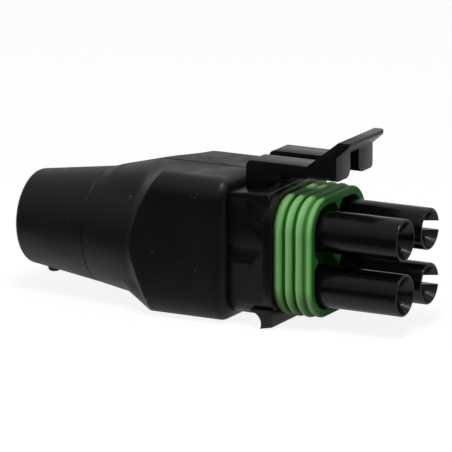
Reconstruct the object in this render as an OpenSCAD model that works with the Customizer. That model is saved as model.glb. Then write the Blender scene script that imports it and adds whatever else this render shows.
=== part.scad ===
// Sealed four-way tower connector with a latch, a ribbed ring seal and a closed moulded boot.
// +X runs along the connector to the tower mouths and +Z points to the latch.
// The origin is the centre of the plane that holds the four tower tips.

/* [Contacts] */
// Distance between neighbouring cavities, across and up
pitch = 7.6; // [7.4:0.1:8.2]
// Diameter of the mating pin
pin_d = 2.5; // [2.2:0.05:2.6]
// Radial gap between the mating pin and its socket
pin_gap = 0.03; // [0.01:0.01:0.05]
// Wall of the rolled contact barrel
contact_wall = 0.36; // [0.25:0.01:0.4]
// Length of the bore that takes the pin
socket_len = 8.4; // [6:0.1:8.8]
// Solid end behind the bore, up to the back of the stop collar
collar_len = 1.9; // [1.2:0.1:2.2]
// Outside diameter of the stop collar
collar_d = 4; // [3.8:0.1:4.2]
// Length of the crimp on the bare conductor
core_crimp_len = 4; // [3:0.1:4.4]
// Length of the crimp on the wire seal
seal_crimp_len = 2.4; // [1.8:0.1:2.6]
// Length of the plain neck behind the stop collar
contact_neck = 1.1; // [0.8:0.1:1.2]
// Distance between the two crimps
crimp_gap = 1.6; // [1.4:0.1:1.8]

/* [Towers] */
// Outside diameter of a tower
tower_d = 5.75; // [5.5:0.05:5.9]
// Length of a tower in front of the ring seal
tower_len = 11.6; // [10.5:0.1:13]
// Growth in radius of the tapered foot of a tower
tower_foot = 0.12; // [0.05:0.01:0.2]
// Length of that foot in front of the ring seal
foot_reach = 0.2; // [0.1:0.05:0.4]
// Wall left at the rim of a tower mouth
mouth_rim = 0.27; // [0.2:0.01:0.5]
// Depth of the cone that leads a pin in
lead_in_len = 3.75; // [2.5:0.05:4.2]
// Radial gap round the pin at the throat behind the cone
throat_gap = 0.25; // [0.15:0.01:0.3]
// Length of that throat
throat_len = 0.65; // [0.4:0.05:1]
// Width of the slot in a tower's side
tower_slot_w = 1.28; // [0.8:0.02:1.6]
// Length of that slot from the tip
tower_slot_len = 3.2; // [2:0.1:4]

/* [Ring seal] */
// Length of the ring seal
seal_len = 6; // [5.6:0.1:6.4]
// Half of its size across, over the ribs
seal_half = 8.45; // [8.2:0.05:8.8]
// Corner radius over the ribs
seal_corner_r = 4.7; // [4:0.1:5]
// Radius of a rib's rounded crest
seal_rib_r = 0.64; // [0.56:0.02:0.68]
// Depth of a rib above the band between ribs
seal_rib_h = 0.72; // [0.4:0.02:0.8]
// Depth of the pocket in front of the seal's web
seal_pocket = 1.3; // [0.8:0.1:2]
// Thickness of the web round the towers
seal_web_t = 1.2; // [0.8:0.1:1.6]
// Wall of the rim in front of the web
seal_rim_t = 0.9; // [0.6:0.05:1.1]
// Height of the nose, its seal and the flange above the cavities' centre
seal_lift = 0.15; // [0:0.05:0.25]

/* [Housing] */
// Half of the nose inside the ring seal
nose_half = 7; // [6.95:0.05:7.1]
// Corner radius of the nose
nose_corner_r = 2.7; // [2.4:0.1:3]
// Thickness of the flange behind the seal
flange_t = 1.25; // [1:0.05:1.6]
// Half of the flange across
flange_half = 8.85; // [8.6:0.05:9.1]
// Corner radius of the flange
flange_corner_r = 4.3; // [3:0.1:4.6]
// Length of the waist between flange and boot
waist_len = 5.55; // [5.2:0.05:6.5]
// Half of the waist across
waist_half = 8.3; // [8:0.05:8.5]
// Height of the waist's top face at the flange
waist_top = 9.2; // [8.9:0.05:9.3]
// Fall of that face towards the boot
waist_fall = 0.5; // [0:0.05:0.6]
// Depth of the waist's bottom face
waist_bottom = 8.2; // [8:0.05:8.6]
// Thickness of the pads on the waist's sides
waist_pad_t = 0.15; // [0.05:0.05:0.25]
// Height where those pads start
waist_pad_low = 1.5; // [1:0.1:2]
// Height where those pads end
waist_pad_high = 8; // [7.5:0.1:8]
// Distance of their slanted front edge behind the flange
waist_pad_gap = 1.8; // [1.4:0.1:2.2]
// Length of the parting ridge on the waist's sides
waist_ridge_len = 3.4; // [2:0.1:4]
// Length of the core that the boot covers
core_len = 7; // [6.8:0.1:7.6]
// Half of the core across, and up to its locks
core_half = 7.1; // [6.7:0.05:7.2]
// Reach of the bottom hook below the axis
hook_depth = 9.65; // [9.3:0.05:10]
// Width of the catches that hold the secondary locks
catch_w = 3; // [2:0.1:4]
// Length of those catches
catch_len = 1.4; // [1.2:0.1:1.6]
// Distance of those catches behind the boot's mouth
catch_setback = 3; // [2.6:0.1:3.2]

/* [Latch] */
// Height of the latch arms' top face
latch_top = 12.78; // [12.4:0.02:13]
// Thickness of the latch arms
latch_t = 1.75; // [1.4:0.05:1.9]
// Width over both arms
latch_w = 10.97; // [10:0.05:12]
// Gap between the arms
latch_gap = 2.52; // [2:0.02:3]
// Distance of the catch face behind the tower tips
latch_setback = 9.56; // [9:0.02:10]
// Length of the ramp behind the lip
ramp_len = 4.7; // [4:0.1:5]
// Height of the lip over the arms
lip_rise = 3.7; // [3:0.05:4]
// Height of the catch face's top over the arms' underside
catch_h = 3.38; // [2.8:0.02:3.6]
// Reach of the lip in front of the catch face
lip_reach = 1.86; // [1.4:0.02:2]
// Length of the flat on top of the lip
lip_flat = 1.6; // [1.2:0.05:1.8]
// Length of the posts that carry the arms
post_len = 3.3; // [2.8:0.1:3.6]
// Gap between the posts and the boot
post_setback = 1.25; // [0.8:0.05:1.6]

/* [Boot] */
// Length of the boot with its cap
boot_len = 34.45; // [33:0.05:38]
// Length of the cap behind the seam
cap_len = 11.65; // [10:0.05:12]
// Half of the boot across
boot_half = 9.6; // [9.4:0.05:10]
// Height of the boot's top face
boot_top = 10.3; // [9.8:0.05:11]
// Depth of the boot's bottom face
boot_bottom = 9.5; // [9.3:0.05:10]
// Radius of the boot's long edges
boot_edge_r = 2.8; // [2:0.1:3]
// Radius of the edges at the boot's mouth
boot_mouth_r = 1.6; // [0.8:0.1:2]
// Radius of the flat end
end_r = 6.55; // [6:0.05:6.7]
// Radius of the neck at the seam
seam_r = 8.15; // [7.8:0.05:8.4]
// Radius of the neck where the shoulder starts
shoulder_r = 9.55; // [9.2:0.05:9.8]
// Distance of the shoulder's start behind the boot's mouth
shoulder_setback = 14.45; // [13.5:0.05:15]
// Growth in radius per millimetre on the shoulder
shoulder_rise = 1.07; // [0.8:0.01:1.3]
// Radius of the hollow between neck and shoulder
shoulder_fillet_r = 3; // [1:0.5:5]
// Length of the cap's spigot inside the boot
spigot_len = 2.5; // [2:0.1:2.8]

/* [Wires and locks] */
// Diameter of the bare conductor
core_d = 1.2; // [0.9:0.05:1.25]
// Outside diameter of the wire
wire_d = 2.2; // [1.9:0.05:2.3]
// Length of the ribbed body of a wire seal
wire_seal_len = 6; // [5.5:0.1:6.2]
// Outside diameter of the wire seal's ribs
wire_seal_d = 4.7; // [4.5:0.05:4.8]
// Thickness of a secondary lock
lock_t = 0.9; // [0.7:0.05:1]
// Half of a secondary lock across
lock_half = 6.4; // [5.8:0.1:6.8]
// Gap between pieces that slide together
slip = 0.05; // [0.03:0.01:0.06]

/* [Hidden] */
$fn = 72;
more = 1;                                   // overshoot of a cutting tool

// Stations along the connector, counted back from the tower tips
x_seal = -tower_len;
x_web = x_seal - seal_pocket;
x_nose = x_web - seal_web_t - slip;
x_flange = x_seal - seal_len;
x_waist = x_flange - flange_t;
x_boot = x_waist - waist_len;
x_core_end = x_boot - core_len;
x_catches = x_boot - catch_setback - catch_len;
x_end = x_boot - boot_len;
x_seam = x_end + cap_len;

// Cavities, counted back from the throat
cavity_sites = [[-1, 1], [1, 1], [-1, -1], [1, -1]] * (pitch / 2);
socket_r = pin_d / 2 + pin_gap;
barrel_r = socket_r + contact_wall;
x_barrel = -lead_in_len - throat_len - 0.2;
x_socket_end = x_barrel - socket_len;
x_collar = x_socket_end - collar_len / 2;
x_crimp = x_socket_end - collar_len - contact_neck;
x_seal_crimp = x_crimp - core_crimp_len - crimp_gap;
x_wire_seal = x_seal_crimp - seal_crimp_len - 0.8;
cavity_r = barrel_r + 2 * slip;
collar_cavity_r = collar_d / 2 + 2 * slip;
seal_cavity_r = wire_seal_d / 2 + slip;
x_seal_cavity = x_wire_seal + 0.4;
wire_seal_nose_r = 1.45;

// Latch
z_arm = latch_top - latch_t;
x_catch = -latch_setback;
x_lip_tip = x_catch + lip_reach;
x_lip_back = x_lip_tip - lip_flat;
x_ramp = x_lip_back - ramp_len;
x_post = x_boot + post_setback;
x_hinge = x_post + post_len;
z_hinge = latch_top - latch_t / 2;
post_corner_r = 0.8;
lip_nose_t = 0.45;
foot_corner_r = 0.6;
foot_inner_r = 1.2;

// Boot
x_shoulder = x_boot - shoulder_setback;
neck_rise = (shoulder_r - seam_r) / (x_shoulder - x_seam);
boot_far_r = norm([boot_half, boot_top]) + 1;
potting_r = core_half + slip;
potting_end_r = 5.5;
x_potting = x_core_end - lock_t - 2 * slip;
x_potting_end = x_seam + spigot_len + 2 * slip;
bend_cover = 1.2;                           // of cast resin behind the links
x_bend = x_potting_end + bend_cover + (pitch + wire_d) / 2;     // centre of the links' half turn
spigot_r = potting_end_r;
cap_hollow_r = spigot_r - 1.5;
cap_floor = 3.1;
seam_chamfer = 0.16;
parting_w = 0.18;

// Runs a flat outline, drawn across (Y) and up (Z), from x0 forward to x1.
module along_x(x0, x1) {
    translate([x0, 0, 0]) rotate([90, 0, 90]) linear_extrude(x1 - x0) children();
}

// Runs a flat outline, drawn along (X) and up (Z), across the width.
module across_y(width, y = 0) {
    translate([0, y, 0]) rotate([90, 0, 0]) linear_extrude(width, center = true) children();
}

// Turns a flat outline, drawn as radius and station, about the X axis through (y, z).
module turned(y = 0, z = 0) {
    translate([0, y, z]) rotate([90, 0, 90]) rotate_extrude() children();
}

// A round bar along X.
module bar(r, x0, x1, y = 0, z = 0) {
    translate([x0, y, z]) rotate([0, 90, 0]) cylinder(r = r, h = x1 - x0);
}

// A rectangle from low to high with its own radius at the low and at the high corners.
module rounded_rect(low, high, r_low, r_high) {
    width = high[0] - low[0];
    translate([low[0], low[1] + r_low]) square([width, high[1] - low[1] - r_low - r_high]);
    translate([low[0] + r_low, low[1]]) square([width - 2 * r_low, r_low + r_high]);
    translate([low[0] + r_high, high[1] - r_high - r_low]) square([width - 2 * r_high, r_high + r_low]);
    for (x = [low[0] + r_low, high[0] - r_low]) translate([x, low[1] + r_low]) circle(r_low);
    for (x = [low[0] + r_high, high[0] - r_high]) translate([x, high[1] - r_high]) circle(r_high);
}

module rounded_square(half, r) {
    rounded_rect([-half, -half], [half, half], r, r);
}

// A rounded bead round a rounded square: four straight runs and four quarter turns.
module bead_ring(x, half, corner_r, bead_r) {
    run = half - corner_r;
    for (turn = [0:3]) translate([x, 0, 0]) rotate([90 * turn, 0, 0]) {
        translate([0, 0, half - bead_r]) rotate([90, 0, 0]) cylinder(r = bead_r, h = 2 * run, center = true);
        translate([0, run, run]) rotate([90, 0, 90]) rotate_extrude(angle = 90)
            translate([corner_r - bead_r, 0]) circle(bead_r);
    }
}

// The space of one cavity: lead-in cone, throat, barrel, collar and wire seal.
module cavity(site) {
    mouth_r = tower_d / 2 - mouth_rim;
    throat_r = pin_d / 2 + throat_gap;
    x_throat = -lead_in_len - throat_len;
    turned(site[0], site[1]) polygon([
        [0, more], [mouth_r, more], [mouth_r, 0], [throat_r, -lead_in_len], [throat_r, x_throat],
        [cavity_r, x_throat], [cavity_r, x_collar], [collar_cavity_r, x_collar],
        [collar_cavity_r, x_seal_cavity], [seal_cavity_r, x_seal_cavity],
        [seal_cavity_r, x_core_end - more], [0, x_core_end - more]]);
}

// The foot of a tower, which tapers up to the plain shaft in front of the ring seal.
module tower_foot_cone(site, gap = 0) {
    shaft_r = tower_d / 2 + gap;
    x_back = x_nose - more;
    turned(site[0], site[1]) polygon([
        [0, x_back], [shaft_r + tower_foot, x_back], [shaft_r, x_seal + foot_reach], [0, x_seal + foot_reach]]);
}

module tower(site) {
    bar(tower_d / 2, x_seal + foot_reach, 0, site[0], site[1]);
    tower_foot_cone(site);
}

module tower_slot(site) {
    translate([-tower_slot_len, site[0] + tower_d / 4, site[1] - tower_slot_w / 2])
        cube([tower_slot_len + more, tower_d / 2, tower_slot_w]);
}

module lifted_square(half, r) {
    translate([0, seal_lift]) rounded_square(half, r);
}

// The neck between flange and boot: its top falls back, and low pads and a parting ridge mark its sides.
module waist() {
    pad_middle = (waist_pad_low + waist_pad_high) / 2;
    ridge_w = 0.35;
    ridge_z = -0.95;
    intersection() {
        along_x(x_boot, x_waist + more / 2)
            rounded_rect([-waist_half, -waist_bottom], [waist_half, waist_top], 2.4, 0.6);
        across_y(2 * (waist_half + more)) polygon([
            [x_boot, -waist_bottom], [x_waist + more, -waist_bottom], [x_waist + more, waist_top],
            [x_waist, waist_top], [x_boot, waist_top - waist_fall]]);
    }
    for (side = [-1, 1]) {
        across_y(waist_pad_t + more, side * (waist_half + (waist_pad_t - more) / 2)) polygon([
            [x_boot, waist_pad_low], [x_waist + more / 2, waist_pad_low], [x_waist + more / 2, pad_middle],
            [x_waist - waist_pad_gap, pad_middle], [x_waist - 1.6 * waist_pad_gap, waist_pad_high],
            [x_boot, waist_pad_high]]);
        translate([x_boot, side * waist_half - waist_pad_t, ridge_z])
            cube([waist_ridge_len, 2 * waist_pad_t, ridge_w]);
    }
}

// A rib across the bottom of the flange, hollowed behind so that it hooks backwards.
module bottom_hook() {
    hollow_r = 1.6;
    root_z = -waist_bottom + 1.2;
    x_hollow = x_flange - 3.3;
    across_y(2 * (waist_half + 0.2)) difference() {
        polygon([
            [x_hollow, root_z], [x_flange, root_z], [x_flange, -hook_depth + 0.39],
            [x_flange - 1.84, -hook_depth], [x_hollow, -hook_depth]]);
        translate([x_hollow, -hook_depth + 0.65]) circle(hollow_r);
    }
}

// Two posts that carry the latch arms, with a round seat in front for the arms' flexing roots.
module latch_posts() {
    arm_w = (latch_w - latch_gap) / 2;
    seat_depth = 0.35;
    for (side = [-1, 1]) across_y(arm_w, side * (latch_gap + arm_w) / 2) difference() {
        union() {
            translate([x_post, waist_top - more])
                square([post_len - seat_depth, latch_top - waist_top + more - post_corner_r]);
            translate([x_post + post_corner_r, waist_top])
                square([post_len - seat_depth - post_corner_r, latch_top - waist_top]);
            translate([x_post + post_corner_r, latch_top - post_corner_r]) circle(post_corner_r);
        }
        translate([x_hinge, z_hinge]) circle(latch_t / 2 + slip);
    }
}

// A small wedge on the core that a secondary lock snaps over.
module lock_catch(side) {
    root = core_half - 0.5;
    mirror([0, 0, side < 0 ? 1 : 0]) across_y(catch_w)
        polygon([
            [x_catches + catch_len, root], [x_catches + catch_len, core_half],
            [x_catches, core_half + lock_t - 0.1], [x_catches, root]]);
}

module tower_housing() {
    color("#2b2b2d") difference() {
        union() {
            for (site = cavity_sites) tower(site);
            along_x(x_flange - more / 2, x_nose) lifted_square(nose_half, nose_corner_r);
            along_x(x_waist, x_flange) lifted_square(flange_half, flange_corner_r);
            bottom_hook();
            waist();
            along_x(x_core_end, x_boot + more / 2) rounded_square(core_half, 1);
            latch_posts();
            for (side = [-1, 1]) lock_catch(side);
        }
        for (site = cavity_sites) {
            cavity(site);
            tower_slot(site);
        }
    }
}

// The side view of the moving latch, with its round root.
module latch_side() {
    translate([x_hinge, z_hinge]) circle(latch_t / 2);
    polygon([
        [x_hinge, z_arm], [x_catch, z_arm], [x_catch, z_arm + catch_h],
        [x_lip_tip, latch_top + lip_rise - lip_nose_t], [x_lip_tip, latch_top + lip_rise],
        [x_lip_back, latch_top + lip_rise], [x_ramp, latch_top], [x_hinge, latch_top]]);
}

// The front view that the latch is trimmed to.
module latch_front() {
    arm_w = (latch_w - latch_gap) / 2;
    translate([-latch_w / 2, z_arm + foot_inner_r]) square([latch_w, latch_t + lip_rise]);
    for (side = [-1, 1]) {
        inner = side * latch_gap / 2;
        outer = side * latch_w / 2;
        translate([min(inner, outer) + (side < 0 ? foot_corner_r : foot_inner_r), z_arm - more])
            square([arm_w - foot_corner_r - foot_inner_r, foot_inner_r + 2 * more]);
        translate([outer - side * foot_corner_r, z_arm + foot_corner_r]) circle(foot_corner_r);
        translate([min(outer, outer - 2 * side * foot_corner_r), z_arm + foot_corner_r])
            square([2 * foot_corner_r, foot_inner_r]);
        translate([inner + side * foot_inner_r, z_arm + foot_inner_r]) circle(foot_inner_r);
    }
}

module latch_lever() {
    ramp_slope = lip_rise / ramp_len;
    x_slot_end = x_ramp - 0.2;
    color("#303032") difference() {
        intersection() {
            across_y(latch_w) latch_side();
            union() {
                along_x(x_ramp, x_lip_tip + more) latch_front();
                along_x(x_hinge - 2 * more, x_ramp)
                    translate([-latch_w / 2, z_arm - more]) square([latch_w, latch_t + 2 * more]);
            }
            translate([x_hinge - 3 * more, 0, 0]) linear_extrude(latch_top + lip_rise + more)
                rounded_plan(x_lip_tip - x_hinge + 3 * more, latch_w / 2, 0.7);
        }
        across_y(latch_gap) polygon([
            [x_hinge - 3 * more, z_arm - more], [x_catch + more, z_arm - more],
            [x_catch + more, z_arm + catch_h + ramp_slope * more], [x_catch, z_arm + catch_h],
            [x_slot_end, z_arm + catch_h - ramp_slope * (x_catch - x_slot_end)],
            [x_slot_end, latch_top + more], [x_hinge - 3 * more, latch_top + more]]);
    }
}

// A plan from x = 0 to a front edge with two rounded corners.
module rounded_plan(length, half, r) {
    translate([0, -half]) square([length - r, 2 * half]);
    translate([0, r - half]) square([length, 2 * (half - r)]);
    for (side = [-1, 1]) translate([length - r, side * (half - r)]) circle(r);
}

module ring_seal() {
    band_half = seal_half - seal_rib_h;
    band_r = seal_corner_r - seal_rib_h;
    front_drop = 0.15;                      // of the front bead below the ribs
    x_rib = x_flange + slip + seal_rib_r;
    rib_step = (x_seal - seal_rib_r - x_rib) / 3;
    rim_half = band_half - 0.05;
    rim_r = band_r - 0.05;
    color("#9cc59a") difference() {
        union() {
            along_x(x_flange + slip, x_seal - 0.3) lifted_square(band_half, band_r);
            for (i = [0:2])
                translate([0, 0, seal_lift])
                    bead_ring(x_rib + i * rib_step, seal_half, seal_corner_r, seal_rib_r);
            translate([0, 0, seal_lift])
                bead_ring(x_seal - seal_rib_r, seal_half - front_drop, seal_corner_r - front_drop, seal_rib_r);
            along_x(x_rib + 2 * rib_step, x_rib + 3 * rib_step)
                lifted_square(seal_half - 0.35, seal_corner_r - 0.35);
            along_x(x_seal - 1, x_seal) lifted_square(rim_half, rim_r);
        }
        along_x(x_flange - more, x_nose + slip) lifted_square(nose_half + slip, nose_corner_r + slip);
        along_x(x_web, x_seal + more) lifted_square(rim_half + 0.2 - seal_rim_t, rim_r + 0.2 - seal_rim_t);
        for (site = cavity_sites) tower_foot_cone(site, slip);
    }
}

// A contact rolled from strip: a seamed socket, a stop collar and two crimps.
module socket_contact(site) {
    crimp_r = core_d / 2 + 0.55;
    seam_w = 0.25;
    x_back = x_socket_end - collar_len;
    color("#c9a94e") difference() {
        union() {
            bar(barrel_r, x_collar - slip, x_barrel, site[0], site[1]);
            bar(collar_d / 2, x_back, x_collar - slip, site[0], site[1]);
            bar(1, x_crimp - more / 2, x_back + more / 2, site[0], site[1]);
            bar(crimp_r, x_crimp - core_crimp_len, x_crimp, site[0], site[1]);
            translate([x_seal_crimp - 0.2, site[0] - 0.8, site[1] - 1.72])
                cube([crimp_gap + 0.6, 1.6, 0.9]);
            bar(wire_seal_nose_r + 0.35, x_seal_crimp - seal_crimp_len, x_seal_crimp, site[0], site[1]);
        }
        bar(socket_r, x_socket_end, x_barrel + more, site[0], site[1]);
        translate([x_socket_end, site[0] - seam_w / 2, site[1]])
            cube([socket_len + more, seam_w, barrel_r + more]);
        bar(core_d / 2 + slip / 2, x_crimp - core_crimp_len - more, x_crimp - 0.4, site[0], site[1]);
        bar(wire_seal_nose_r + slip / 2, x_seal_crimp - seal_crimp_len - more, x_seal_crimp, site[0], site[1]);
    }
}

// A silicone plug round one wire, with a plain nose for the crimp and three ribs.
module wire_seal(site) {
    body_r = wire_seal_d / 2 - 0.3;
    bead_r = 0.45;
    color("#8fbf8c") difference() {
        union() {
            bar(wire_seal_nose_r, x_wire_seal - more / 2, x_seal_crimp - 0.2, site[0], site[1]);
            bar(body_r, x_wire_seal - wire_seal_len, x_wire_seal, site[0], site[1]);
            for (i = [0:2])
                turned(site[0], site[1])
                    translate([wire_seal_d / 2 - bead_r, x_wire_seal - wire_seal_len * (i + 0.5) / 3])
                    circle(bead_r);
        }
        bar(wire_d / 2 + slip / 2, x_wire_seal - wire_seal_len - more, x_seal_crimp + more, site[0], site[1]);
    }
}

// A flap over the core with a comb behind it that keeps two wire seals in.
module secondary_lock(side) {
    z_plate = core_half + slip;
    x_comb = x_core_end - slip;
    color("#3a3a3c") mirror([0, 0, side < 0 ? 1 : 0]) difference() {
        union() {
            translate([x_comb - lock_t, -lock_half, z_plate])
                cube([x_boot - 1.2 - x_comb + lock_t, 2 * lock_half, lock_t]);
            translate([x_comb - lock_t, -lock_half, 0.1]) cube([lock_t, 2 * lock_half, z_plate]);
        }
        translate([x_catches - slip, -catch_w / 2 - slip, core_half])
            cube([catch_len + 4 * slip, catch_w + 2 * slip, 2 * lock_t]);
        for (y = [-1, 1] * (pitch / 2)) {
            bar(wire_d / 2 + slip, x_comb - lock_t - more, x_comb + more, y, pitch / 2);
            translate([x_comb - lock_t - more, y - wire_d / 2 - slip, -more])
                cube([lock_t + 2 * more, wire_d + 2 * slip, pitch / 2 + more]);
        }
    }
}

// A round strand that leaves an upper cavity, turns back and enters the lower one.
module link(y, r, x_front) {
    bend_r = pitch / 2;
    for (z = [-1, 1] * bend_r) bar(r, x_bend, x_front, y, z);
    translate([x_bend, y, 0]) rotate([90, 0, 0]) rotate_extrude(angle = 180, start = 90)
        translate([bend_r, 0]) circle(r);
}

module link_conductor(y) {
    color("#b87345") link(y, core_d / 2, x_crimp - 0.6);
}

module link_insulation(y) {
    color("#4a4a4c") difference() {
        link(y, wire_d / 2, x_seal_crimp - 0.1);
        link(y, core_d / 2 + slip / 2, x_seal_crimp + more);
    }
}

// The block that is cast round the links before the boot goes on.
module potting_block() {
    color("#55554f") difference() {
        turned() polygon([
            [0, x_potting], [potting_r, x_potting], [potting_r, x_shoulder],
            [potting_end_r, x_potting_end], [0, x_potting_end]]);
        for (y = [-1, 1] * (pitch / 2)) link(y, wire_d / 2 + slip / 2, x_potting + more);
    }
}

// The turned outline of the boot: flat end, neck, hollow and shoulder.
module boot_outline() {
    end_corner_r = 0.8;
    a_neck = atan(neck_rise);
    a_shoulder = atan(shoulder_rise);
    reach = shoulder_fillet_r * tan((a_shoulder - a_neck) / 2);
    neck_tangent = [shoulder_r - reach * sin(a_neck), x_shoulder - reach * cos(a_neck)];
    shoulder_tangent = [shoulder_r + reach * sin(a_shoulder), x_shoulder + reach * cos(a_shoulder)];
    hollow_centre = neck_tangent + shoulder_fillet_r * [cos(a_neck), -sin(a_neck)];
    difference() {
        polygon([
            [0, x_end], [end_r - end_corner_r, x_end], [end_r, x_end + end_corner_r],
            [seam_r, x_seam], neck_tangent, shoulder_tangent,
            [boot_far_r, x_shoulder + (boot_far_r - shoulder_r) / shoulder_rise],
            [boot_far_r, x_boot + more], [0, x_boot + more]]);
        translate(hollow_centre) circle(shoulder_fillet_r);
    }
    translate([end_r - end_corner_r, x_end + end_corner_r]) circle(end_corner_r);
}

// The whole boot without its inside, trimmed to a rounded block in front.
module boot_form() {
    block_back = x_end - more;
    length = x_boot - block_back;
    intersection() {
        turned() boot_outline();
        along_x(block_back, x_boot)
            rounded_rect([-boot_half, -boot_bottom], [boot_half, boot_top], boot_edge_r, boot_edge_r);
        translate([block_back, 0, -boot_far_r]) linear_extrude(2 * boot_far_r)
            rounded_plan(length, boot_half, boot_mouth_r);
        translate([block_back, boot_far_r, (boot_top - boot_bottom) / 2]) rotate([90, 0, 0])
            linear_extrude(2 * boot_far_r) rounded_plan(length, (boot_top + boot_bottom) / 2, boot_mouth_r);
    }
}

module boot_body() {
    wall_gap = 2 * slip;
    lock_space = core_half + lock_t + wall_gap;
    color("#38383a") difference() {
        boot_form();
        translate([x_end - more, -boot_far_r, -boot_far_r]) cube([x_seam - x_end + more, 2 * boot_far_r, 2 * boot_far_r]);
        translate([x_potting, -core_half - wall_gap, -lock_space])
            cube([x_boot - x_potting + more, 2 * (core_half + wall_gap), 2 * lock_space]);
        turned() polygon([
            [0, x_potting + more], [potting_r + slip, x_potting + more], [potting_r + slip, x_shoulder],
            [potting_end_r + slip, x_potting_end - slip], [spigot_r + slip, x_seam - more],
            [0, x_seam - more]]);
        turned() polygon([
            [seam_r - seam_chamfer, x_seam], [seam_r + more, x_seam - more],
            [seam_r + more, x_seam + seam_chamfer + more * neck_rise]]);
        translate([x_seam, -parting_w / 2, boot_top - 0.12]) cube([x_boot - x_seam + more, parting_w, 1]);
    }
}

module boot_cap() {
    nub_r = 0.55;
    nub_len = 1.6;
    nub_setback = 3.1;                      // of the moulding's gate nub from the end
    color("#343436") difference() {
        union() {
            intersection() {
                boot_form();
                translate([x_end - more, -boot_far_r, -boot_far_r])
                    cube([x_seam - x_end + more, 2 * boot_far_r, 2 * boot_far_r]);
            }
            bar(spigot_r, x_seam - more / 2, x_seam + spigot_len);
            translate([x_end + nub_setback, 0, -seam_r + nub_len / 2 - 0.1])
                cylinder(r1 = nub_r * 0.7, r2 = nub_r, h = nub_len);
        }
        bar(cap_hollow_r, x_end + cap_floor, x_potting_end);
        turned() polygon([
            [seam_r - seam_chamfer, x_seam], [seam_r + more, x_seam + more],
            [seam_r + more, x_seam - seam_chamfer - more]]);
    }
}

tower_housing();
latch_lever();
ring_seal();
for (i = [1:4]) {
    socket_contact(cavity_sites[i - 1]);
    wire_seal(cavity_sites[i - 1]);
}
secondary_lock(1);  // secondary_lock_upper
secondary_lock(-1);  // secondary_lock_lower
for (i = [1:2]) {
    link_conductor([-1, 1][i - 1] * pitch / 2);
    link_insulation([-1, 1][i - 1] * pitch / 2);
}
potting_block();
boot_body();
boot_cap();
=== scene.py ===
"""Dresses a sealed four-way tower connector: boot, latch, ring seal, housing, finishes and studio."""

import contextlib
import math
from functools import partialmethod

import bmesh
import bpy
from mathutils import Matrix, Vector


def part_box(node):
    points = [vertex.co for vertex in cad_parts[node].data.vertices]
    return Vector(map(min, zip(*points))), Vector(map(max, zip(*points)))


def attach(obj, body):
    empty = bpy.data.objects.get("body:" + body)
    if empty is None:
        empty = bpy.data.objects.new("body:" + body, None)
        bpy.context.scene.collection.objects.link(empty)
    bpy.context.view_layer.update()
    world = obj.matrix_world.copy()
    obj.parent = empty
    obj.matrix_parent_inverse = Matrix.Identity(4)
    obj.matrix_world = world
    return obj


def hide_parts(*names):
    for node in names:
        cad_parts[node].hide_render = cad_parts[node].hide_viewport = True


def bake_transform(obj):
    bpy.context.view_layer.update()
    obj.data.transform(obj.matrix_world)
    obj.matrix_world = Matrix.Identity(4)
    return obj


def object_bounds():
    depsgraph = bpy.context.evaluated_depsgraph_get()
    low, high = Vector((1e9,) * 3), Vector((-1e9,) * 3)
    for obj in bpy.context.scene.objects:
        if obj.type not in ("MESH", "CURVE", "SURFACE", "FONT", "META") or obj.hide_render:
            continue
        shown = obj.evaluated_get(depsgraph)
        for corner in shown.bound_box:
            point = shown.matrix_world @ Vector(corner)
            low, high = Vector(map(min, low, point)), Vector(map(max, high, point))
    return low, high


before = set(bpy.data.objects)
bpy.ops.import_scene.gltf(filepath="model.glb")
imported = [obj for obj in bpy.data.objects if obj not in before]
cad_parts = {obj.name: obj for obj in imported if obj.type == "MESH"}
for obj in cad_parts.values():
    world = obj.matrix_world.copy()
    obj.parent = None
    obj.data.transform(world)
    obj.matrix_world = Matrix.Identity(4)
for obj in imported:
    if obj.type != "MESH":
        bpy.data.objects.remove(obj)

bl_info = {
    "name": "Sealed tower connector",
    "version": (1, 0, 0),
    "blender": (4, 5, 0),
    "location": "View3D > Sidebar > Connector",
    "description": "Builds the shells, seal, latch and finishes of a sealed four-way connector",
    "category": "Add Mesh",
}

MM = 0.001
CAD_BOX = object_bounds()

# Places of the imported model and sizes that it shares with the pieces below, in metres
BOOT_LOW, BOOT_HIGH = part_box("boot_body")
CAP_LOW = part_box("boot_cap")[0]
SEAL_LOW, SEAL_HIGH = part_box("ring_seal")
LATCH_LOW, LATCH_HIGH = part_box("latch_lever")
HALF_PITCH = 3.8 * MM
TOWER_BACK = -14 * MM
CORE_HALF, CORE_HIGH = 7.2 * MM, 8.1 * MM
WAIST_LENGTH_MM, WAIST_DROP_MM = 5.55, 0.5
WAIST_FRONT = BOOT_HIGH.x + WAIST_LENGTH_MM * MM
WAIST_TOP = 9.2 * MM
WAIST_SLOPE = WAIST_DROP_MM / WAIST_LENGTH_MM
SEAL_LIFT = (SEAL_LOW.z + SEAL_HIGH.z) / 2

# Points nearer to each other than this are one point
WELD, FINE_WELD = 1e-6, 2e-7

# Angles, in degrees, over which an edge is shaded sharp
MOULD_SHARP, HOUSING_SHARP, TOWER_SHARP = 38, 30, 20


# ---- sizes and colours a user may change


def length(name, description, default):
    """A size that is a length."""
    return bpy.props.FloatProperty(
        name=name, description=description, default=default, unit="LENGTH", precision=5)


def number(name, description, default, least):
    """A whole number of at least least."""
    return bpy.props.IntProperty(name=name, description=description, default=default, min=least)


def tone(name, description, default):
    """A colour."""
    return bpy.props.FloatVectorProperty(
        name=name, description=description, default=default, subtype="COLOR", size=3, min=0, max=1)


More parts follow.
